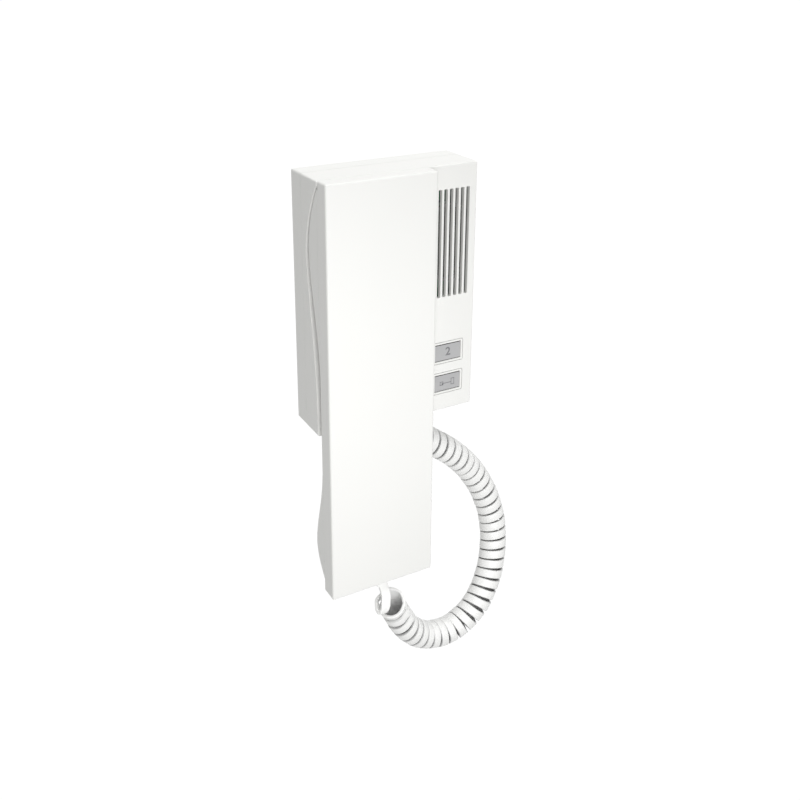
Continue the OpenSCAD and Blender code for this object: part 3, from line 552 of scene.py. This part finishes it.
def ribbonPath(c):
    axes = mouthAxes(c)
    helix, wound, fill = coilTurns(c, axes[1])
    lead, leadWide = leadLine(c, helix, wound)
    strap, strapWide = strapLine(c, helix, wound, axes)
    path = np.vstack([lead, helix, strap])
    wide = np.vstack([leadWide, wound, strapWide])
    coilEnd = len(path) - len(strap)
    for _ in range(c["joinPasses"]):           # evens out the joins of the three stretches
        for line in (path, wide):
            for a, b in ((2, len(lead) + c["joinSteps"]), (coilEnd - c["joinSteps"], len(path) - 2)):
                line[a:b] += c["joinPull"] * (line[a - 1:b - 1] + line[a + 1:b + 1] - 2 * line[a:b])
    go = unitRows(np.gradient(path, axis=0))
    wide = unitRows(wide - go * np.sum(go * wide, axis=1)[:, None])
    step = np.arange(len(path))                # coiled is 1 inside the coil, 0 on its two ends
    coiled = np.clip(np.minimum(step - len(lead), coilEnd - step) / c["coilEase"], 0, 1)
    return path, wide, go, coiled, np.concatenate([np.zeros(len(lead)), fill, np.zeros(len(strap))])


path, wide, go, coiled, fill = ribbonPath(cord)


def ribbonSection(c):                          # a rectangle with round corners
    half, deep, r = c["width"] / 2, c["thick"] / 2, c["corner"]
    section = []
    for k, (sx, sy) in enumerate(((1, 1), (-1, 1), (-1, -1), (1, -1))):
        for a in (0, 30, 60, 90):
            turned = math.radians(a + 90 * k)
            section.append((sx * (half - r) + r * math.cos(turned), sy * (deep - r) + r * math.sin(turned)))
    return section


def ribbonPaintedShade(c, section, coiled, fill):      # how much painted shade each point gets: the coil's inside and its gaps, where little light reaches
    step = np.arange(len(coiled))
    wound = np.flatnonzero(coiled > 0)
    since, until = (step - wound[0]) / c["perTurn"], (wound[-1] - step) / c["perTurn"]
    closed = np.clip(np.minimum(since, until) - c["brightTurns"], 0, 1)     # the end turns get no painted shade on their edges
    # painted shade inside the coil, lighter over the last turns before the mouth
    inside = coiled * (1 - c["mouthLit"] * np.clip(1 - until / c["mouthTurns"], 0, 1))
    gap = np.interp(since, *np.transpose(c["edgeShade"])) * closed
    gap = np.maximum(gap, np.clip(fill, 0, 1) * np.clip((until - c["shadeFrom"]) * c["shadeGrowth"], 0, 1))
    edge = c["width"] / 2 - c["edgeShare"] * c["corner"]
    return [i if b < 0 else i * g * (abs(a) > edge) for i, g in zip(inside, gap) for a, b in section]


def ribbonMesh(c, path, wide, go, coiled, fill):
    section, thin, run = ribbonSection(c), np.cross(go, wide), runAlong(path)
    swell = (1 + c["endWiden"] * (1 - coiled) + fill / c["width"]
             + c["exitWiden"] * np.exp(-run / c["exitReach"])
             + c["exitWiden"] * np.exp(-(run[-1] - run) / c["exitReach"]))
    points = [(p + w * a * s + t * b) * mm for p, w, t, s in zip(path, wide, thin, swell) for a, b in section]
    n = len(section)
    faces = [(i + j, i + (j + 1) % n, i + n + (j + 1) % n, i + n + j)
             for i in range(0, len(points) - n, n) for j in range(n)]
    faces += [tuple(reversed(range(n))), tuple(range(len(points) - n, len(points)))]
    mesh = bpy.data.meshes.new("coiledLead")
    mesh.from_pydata([tuple(p) for p in points], [], faces)
    # each point's painted shade goes to the jacket's base colour
    paintedShade = mesh.attributes.new("paintedShade", "FLOAT", "POINT")
    paintedShade.data.foreach_set("value", ribbonPaintedShade(c, section, coiled, fill))
    fixed = bmesh.new()
    fixed.from_mesh(mesh)
    bmesh.ops.recalc_face_normals(fixed, faces=fixed.faces)
    fixed.to_mesh(mesh)
    fixed.free()
    return mesh


coiledLead = piece("coiledLead", ribbonMesh(cord, path, wide, go, coiled, fill), "cord")
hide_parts("cord_tail_base", "coiled_cord", "cord_tail_handset")
tuple(path[0] * mm)
[tuple(p * mm) for p in path]
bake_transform(coiledLead)
print("coiled lead made")


# speaker cone: rolled edge, pleats and dust cap, all one rule in a geometry tree
# Edge and Cap are shares of the way out, where the roll begins and the cap ends
cone = {"middle": (28.05, 24.8), "face": -24.0, "thick": 0.2, "pleatTurn": 16.5, "join": 0.001,
        "sizes": {"Half": 8.25, "Straight": 10.0, "Deep": 5.0, "Edge": 0.8, "Roll": 0.5, "Pleats": 3.0,
                  "Pleat": 0.12, "Cap": 0.42, "CapHigh": 1.5},
        "counts": {"Around": 97, "Rings": 49}}


def coneTree(c):
    sizes = c["sizes"]
    inputs = [(k, "Float") for k in sizes] + [(k, "Int") for k in c["counts"]] + [("Material", "Material")]
    tree, given = geometryTree("speakerCone", inputs)

    def wave(kind, of):
        return tree.node("ShaderNodeMath", {"operation": kind}, {0: of})

    grid = tree.node("GeometryNodeMeshGrid", {}, {"Size X": 1.0, "Size Y": 1.0, "Vertices X": given["Around"],
                                                  "Vertices Y": given["Rings"]})
    spot = tree.node("GeometryNodeInputPosition")
    around, out = (tree.node("ShaderNodeSeparateXYZ", {}, {0: spot}, k) + 0.5 for k in (0, 1))
    inCone, inRoll = out > given["Cap"], out > given["Edge"]
    fall = (given["Edge"] - out) * (1 - inRoll) * given["Deep"]
    rolled = wave("SINE", (out - given["Edge"]) * (math.pi / (1 - sizes["Edge"]))) * given["Roll"] * inRoll
    ripple = wave("SINE", (out - given["Cap"]) * given["Pleats"] * c["pleatTurn"])
    pleated = ripple * given["Pleat"] * (1 - inRoll)
    dome = given["CapHigh"] * (1 - out * out * (1 / sizes["Cap"] ** 2))
    foot = (given["Edge"] - given["Cap"]) * given["Deep"]
    depth = inCone * (fall + pleated) + (1 - inCone) * (foot - dome) - rolled
    side = wave("SINE", around * (2 * math.pi))
    formed = tree.node("ShaderNodeCombineXYZ", {}, {
        0: wave("COSINE", around * (2 * math.pi)) * given["Half"] * out, 1: depth,
        2: (side * given["Half"] + wave("SIGN", side) * given["Straight"]) * out})
    formed = tree.node("GeometryNodeSetPosition", {}, {"Geometry": grid, "Position": formed})
    formed = tree.node("GeometryNodeMergeByDistance", {}, {"Geometry": formed, "Distance": c["join"]})
    return closeTree(tree, formed, given["Material"])


coneMesh = grown("speakerDiaphragm", bpy.data.meshes.new("speakerDiaphragm"), coneTree(cone),
                 {**cone["sizes"], **cone["counts"], "Material": finishes["cone"]})
coneMesh.transform(Matrix.Translation((cone["middle"][0] * mm, cone["face"] * mm, cone["middle"][1] * mm))
                   @ Matrix.Diagonal((mm, mm, mm, 1)))
diaphragm = piece("speakerDiaphragm", coneMesh, "cone", "base")
shell = diaphragm.modifiers.new("paper", "SOLIDIFY")
shell.thickness = cone["thick"] * mm
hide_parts("speaker_cone")
print("speaker cone formed", len(coneMesh.polygons))


# small parts that repeat on the circuit board
boardParts = {
    "backFace": -4.4, "frontFace": -6.0,
    "joint": {"Foot": 0.75, "Tip": 0.28, "High": 0.7}, "jointSides": 12,
    "resistor": {"Wide": 1.2, "Long": 2.0, "High": 0.55},
    "cap": {"Wide": 1.26, "Long": 0.4, "High": 0.6}, "capShift": 0.9,
}
pins = {
    "capacitor": [(x, 38.1) for x in (22.3, 24.8, 31.3, 33.8)],
    "terminal": [(0.5 + 4 * i, -26.5) for i in range(4)],
    "keySwitch": [(28.05 + x, z + y) for z in (-49.05, -32.35) for x in (-2.3, 2.3) for y in (-3.2, 3.2)],
    "hookSwitch": [(-13.35, z) for z in (-43, -38.6, -34.2)],
}
resistors = [(36.4, -10 - 4 * i) for i in range(10)] + [(-5 + 3.4 * i, -44.6) for i in range(6)]


def solderCone(tree, given):
    return tree.node("GeometryNodeMeshCone", {}, {
        "Vertices": boardParts["jointSides"], "Side Segments": 1, "Fill Segments": 1,
        "Radius Top": given["Tip"], "Radius Bottom": given["Foot"], "Depth": given["High"]})


def chipBlock(tree, given):                    # a block that stands on its point
    size = tree.node("ShaderNodeCombineXYZ", {}, {0: given["Wide"], 1: given["Long"], 2: given["High"]})
    raised = tree.node("ShaderNodeCombineXYZ", {}, {2: given["High"] * 0.5})
    block = tree.node("GeometryNodeMeshCube", {}, {"Size": size})
    return tree.node("GeometryNodeTransform", {}, {"Geometry": block, "Translation": raised})


def repeater(name, shape, sizes, turned):      # a geometry tree that sets one small shape on every point
    tree, given = geometryTree(name, [(k, "Float") for k in sizes] + [("Material", "Material")])
    spread = tree.node("GeometryNodeInstanceOnPoints", {}, {
        "Points": given["Geometry"], "Instance": shape(tree, given),
        "Rotation": (math.radians(turned), 0, 0)})
    return closeTree(tree, spread, given["Material"])


def repeated(name, tree, face, spots, part, look):
    mesh = bpy.data.meshes.new(name)
    mesh.from_pydata([(x * mm, boardParts[face] * mm, z * mm) for x, z in spots], [], [])
    values = {k: v * mm for k, v in boardParts[part].items()}
    made = grown(name, mesh, tree, {**values, "Material": finishes[look]})
    piece(name, made, look, "base", False)
    print(name, len(spots))


jointTree = repeater("solderJoints", solderCone, boardParts["joint"], -90)
chipTree = repeater("chipBodies", chipBlock, boardParts["resistor"], 90)
pinSpots = [spot for group in pins.values() for spot in group]
capSpots = [(x, z + side * boardParts["capShift"]) for x, z in resistors for side in (-1, 1)]
repeated("solderJoints", jointTree, "backFace", pinSpots, "joint", "solder")
repeated("boardResistors", chipTree, "frontFace", resistors, "resistor", "dark")
repeated("resistorEnds", chipTree, "frontFace", capSpots, "cap", "solder")


# legends printed on the two keys, and painted shadow strips along their labels' edges
upperNumeral = {"text": "2", "face": -27.0, "thick": 0.03, "size": 6.2, "bolder": 0.13,
                "middle": (28.4, -32.55)}
keyPicture = {"face": -27.0, "thick": 0.03, "stroke": 0.32, "shaft": (25.9, 30.6, -49.6, -49.95),
              "frames": [(24.0, 26.0, -48.7, -50.7), (30.5, 32.5, -47.7, -51.3)],
              "dot": (25.1, 25.9, -49.6, -50.5)}
# the painted shadow runs along the top, the left side and the foot of each label
labelShadow = {"face": -27.0, "thick": 0.04, "top": 0.72, "side": 0.2, "foot": 0.16,
             "left": 20.6, "right": 35.5,
             "labels": {"upper_key": (-27.72, -36.98), "door_key": (-44.42, -53.68)}}     # top and foot


def numeralMesh(c):
    words = bpy.data.curves.new("numeral", "FONT")
    words.body, words.size = c["text"], c["size"] * mm
    words.align_x, words.align_y = "CENTER", "CENTER"
    words.extrude = c["thick"] * mm / 2
    words.offset = c["bolder"] * mm
    mesh = plainMesh(placed("numeral", words))
    mesh.transform(Matrix.Translation((c["middle"][0] * mm, c["face"] * mm, c["middle"][1] * mm))
                   @ Matrix.Rotation(math.radians(90), 4, "X"))
    return mesh


def frameOf(x0, x1, z1, z0, w):                # four strokes of a hollow rectangle
    return [(x0, x1, z1, z1 - w), (x0, x1, z0 + w, z0), (x0, x0 + w, z1, z0), (x1 - w, x1, z1, z0)]


def flatBoxes(name, boxes, face, thick):       # thin blocks, each from left, right, top and foot
    shape = bmesh.new()
    for x0, x1, z1, z0 in boxes:
        corners = [shape.verts.new((x * mm, y * mm, z * mm)) for y in (face - thick, face + thick)
                   for x, z in ((x0, z0), (x1, z0), (x1, z1), (x0, z1))]
        for f in ((0, 1, 2, 3), (7, 6, 5, 4), (0, 4, 5, 1), (1, 5, 6, 2), (2, 6, 7, 3), (3, 7, 4, 0)):
            shape.faces.new([corners[k] for k in f])
    bmesh.ops.recalc_face_normals(shape, faces=shape.faces)
    mesh = bpy.data.meshes.new(name)
    shape.to_mesh(mesh)
    shape.free()
    return mesh


piece("upperLegend", numeralMesh(upperNumeral), "legend", "upper_key", False)
strokes = [keyPicture["shaft"], keyPicture["dot"]]
for box in keyPicture["frames"]:
    strokes += frameOf(*box, keyPicture["stroke"])
piece("doorLegend", flatBoxes("doorLegend", strokes, keyPicture["face"], keyPicture["thick"]),
              "legend", "door_key", False)
for key, (top, foot) in labelShadow["labels"].items():
    left, right = labelShadow["left"], labelShadow["right"]
    edges = [(left, right, top, top - labelShadow["top"]), (left, left + labelShadow["side"], top, foot),
             (left, right, foot + labelShadow["foot"], foot)]
    piece(key + "Seat", flatBoxes(key + "Seat", edges, labelShadow["face"], labelShadow["thick"]),
                  "paintedShadow", key, False)
print("legends made")


# floor, world and lamps
def seenDirectly(maker):                       # camera, mirror and clear-glass rays
    direct, mirror, glass = (maker.node("ShaderNodeLightPath", {}, {}, name) for name in
                             ("Is Camera Ray", "Is Glossy Ray", "Is Transmission Ray"))
    return direct.larger(mirror).larger(glass)


floor = {"height": -0.5, "half": 40.0, "matt": (0.7, 0.7, 0.7), "glow": 1.06, "glowShare": 0.95}
ground = bmesh.new()
bmesh.ops.create_grid(ground, x_segments=2, y_segments=2, size=floor["half"])
groundMesh = bpy.data.meshes.new("floor")
ground.to_mesh(groundMesh)
ground.free()
groundMesh.transform(Matrix.Translation((0, 0, floor["height"])))
groundObject = placed("floor", groundMesh)
pale = bpy.data.materials.new("floor pale")
maker = emptied(pale)
matt = maker.node("ShaderNodeBsdfDiffuse", {}, {"Color": floor["matt"]})
glow = maker.node("ShaderNodeEmission", {}, {"Color": (1, 1, 1), "Strength": floor["glow"]})
maker.node("ShaderNodeOutputMaterial", {}, {"Surface": maker.node(
    "ShaderNodeMixShader", {}, {0: seenDirectly(maker) * floor["glowShare"], 1: matt, 2: glow})})
groundMesh.materials.append(pale)

studio = {"room": {"Color": (0.997, 1, 0.983), "Strength": 0.47},
          "plain": {"Color": (1, 1, 1), "Strength": 1.02}}
world = bpy.data.worlds.new("studio")
maker = emptied(world)
room, plain = (maker.node("ShaderNodeBackground", {}, studio[name]) for name in ("room", "plain"))
maker.node("ShaderNodeOutputWorld", {}, {"Surface": maker.node(
    "ShaderNodeMixShader", {}, {0: seenDirectly(maker), 1: room, 2: plain})})
scene.world = world
scene.view_settings.view_transform = "Standard"

lamps = {
    "frontLamp": {"place": (-0.06, -0.32, -0.045), "aim": (-0.01, -0.03, -0.04), "size": 0.3, "watts": 0.745},
    "topLamp": {"place": (0.1, 0.02, 0.85), "aim": (0, -0.03, 0), "size": 0.6, "watts": 4.2},
}
for name, lamp in lamps.items():
    light = bpy.data.lights.new(name, "AREA")
    light.shape, light.size, light.energy = "SQUARE", lamp["size"], lamp["watts"]
    made = placed(name, light)
    made.location = lamp["place"]
    made.rotation_euler = (Vector(lamp["aim"]) - Vector(lamp["place"])).to_track_quat("-Z", "Y").to_euler()
    made.visible_camera = False
print("stage set")
